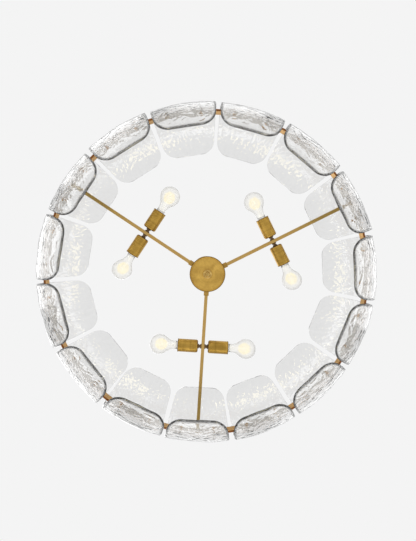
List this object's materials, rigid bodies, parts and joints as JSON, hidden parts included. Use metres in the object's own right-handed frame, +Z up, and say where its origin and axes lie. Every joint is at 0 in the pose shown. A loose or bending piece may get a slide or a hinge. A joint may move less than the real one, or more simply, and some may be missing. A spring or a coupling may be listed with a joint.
{
  "type": "drum chandelier",
  "caption": "Stem-hung drum chandelier: bent rippled glass panels around a brass ring band, carried on arms from a round hub, with level lampholders and bulbs.",
  "frame": {"origin": "centre of the canopy's rim, on the ceiling", "axes": "+Z up, out of the ceiling face; one arm points along -Y"},
  "size_m": [1.0282, 1.023, 0.5363],
  "materials": {
    "satin_brass": "satin, lacquered",
    "rippled_glass": "rippled clear",
    "plated_steel": "zinc plated",
    "dark_bronze": "dark bronze",
    "green_screw": "green",
    "clear_silicone": "frosted",
    "holder_plastic": "moulded",
    "contact_brass": "bright",
    "lead_insulation": "satin",
    "connector_plastic": "clear tint",
    "bulb_glass": "lit clear"
  },
  "bodies": {
    "ceiling_set": {"mounting_strap": "plated_steel", "strap_nipple": "plated_steel", "strap_lock_nut": "plated_steel", "ground_screw": "green_screw", "canopy": "satin_brass", "canopy_studs": "plated_steel", "canopy_ball_nuts": "satin_brass", "swivel_cap": "satin_brass", "swivel_collar": "satin_brass"},
    "swivel": {"swivel_stud": "plated_steel", "swivel_yoke": "satin_brass"},
    "fixture": {"arm_1": "satin_brass", "arm_2": "satin_brass", "arm_3": "satin_brass", "arm_collars": "satin_brass", "arm_end_screws": "satin_brass", "arm_root_screws": "satin_brass", "finial": "satin_brass", "glass_cap_nuts": "satin_brass", "glass_grommets": "clear_silicone", "glass_panel_01": "rippled_glass", "glass_panel_02": "rippled_glass", "glass_panel_03": "rippled_glass", "glass_panel_04": "rippled_glass", "glass_panel_05": "rippled_glass", "glass_panel_06": "rippled_glass", "glass_panel_07": "rippled_glass", "glass_panel_08": "rippled_glass", "glass_panel_09": "rippled_glass", "glass_panel_10": "rippled_glass", "glass_panel_11": "rippled_glass", "glass_panel_12": "rippled_glass", "glass_panel_13": "rippled_glass", "glass_panel_14": "rippled_glass", "glass_panel_15": "rippled_glass", "glass_screws": "satin_brass", "hub_body": "satin_brass", "hub_cover": "satin_brass", "hub_lock_nut": "plated_steel", "hub_nipple": "plated_steel", "lamp_wires": "lead_insulation", "lampholders": "holder_plastic", "lower_stem": "satin_brass", "pivot_screws": "satin_brass", "ring_band": "satin_brass", "socket_contacts": "contact_brass", "socket_cups": "satin_brass", "socket_lock_nuts": "dark_bronze", "socket_nipples": "dark_bronze", "splice_connectors": "connector_plastic", "stem_coupling": "satin_brass", "stem_knuckle": "satin_brass", "upper_stem": "satin_brass"},
    "bulb_1": {"bulb_1": "bulb_glass"},
    "bulb_2": {"bulb_2": "bulb_glass"},
    "bulb_3": {"bulb_3": "bulb_glass"},
    "bulb_4": {"bulb_4": "bulb_glass"},
    "bulb_5": {"bulb_5": "bulb_glass"},
    "bulb_6": {"bulb_6": "bulb_glass"}
  },
  "joints": [
    {"name": "swivel_turn", "type": "hinge", "parent": "ceiling_set", "child": "swivel", "pos_m": [0, 0, -0.0803], "axis": [0, 0, 1], "range_deg": [-170, 170]},
    {"name": "hang_straight_tilt", "type": "hinge", "parent": "swivel", "child": "fixture", "pos_m": [0, 0, -0.0803], "axis": [1, 0, 0], "range_deg": [-25, 25]},
    {"name": "bulb_1_unscrew", "type": "slide", "parent": "fixture", "child": "bulb_1", "axis": [1, 0, 0], "range_m": [0, 0.03]},
    {"name": "bulb_2_unscrew", "type": "slide", "parent": "fixture", "child": "bulb_2", "axis": [-1, 0, 0], "range_m": [0, 0.03]},
    {"name": "bulb_3_unscrew", "type": "slide", "parent": "fixture", "child": "bulb_3", "axis": [-0.5, 0.866, 0], "range_m": [0, 0.03]},
    {"name": "bulb_4_unscrew", "type": "slide", "parent": "fixture", "child": "bulb_4", "axis": [0.5, -0.866, 0], "range_m": [0, 0.03]},
    {"name": "bulb_5_unscrew", "type": "slide", "parent": "fixture", "child": "bulb_5", "axis": [-0.5, -0.866, 0], "range_m": [0, 0.03]},
    {"name": "bulb_6_unscrew", "type": "slide", "parent": "fixture", "child": "bulb_6", "axis": [0.5, 0.866, 0], "range_m": [0, 0.03]}
  ]
}
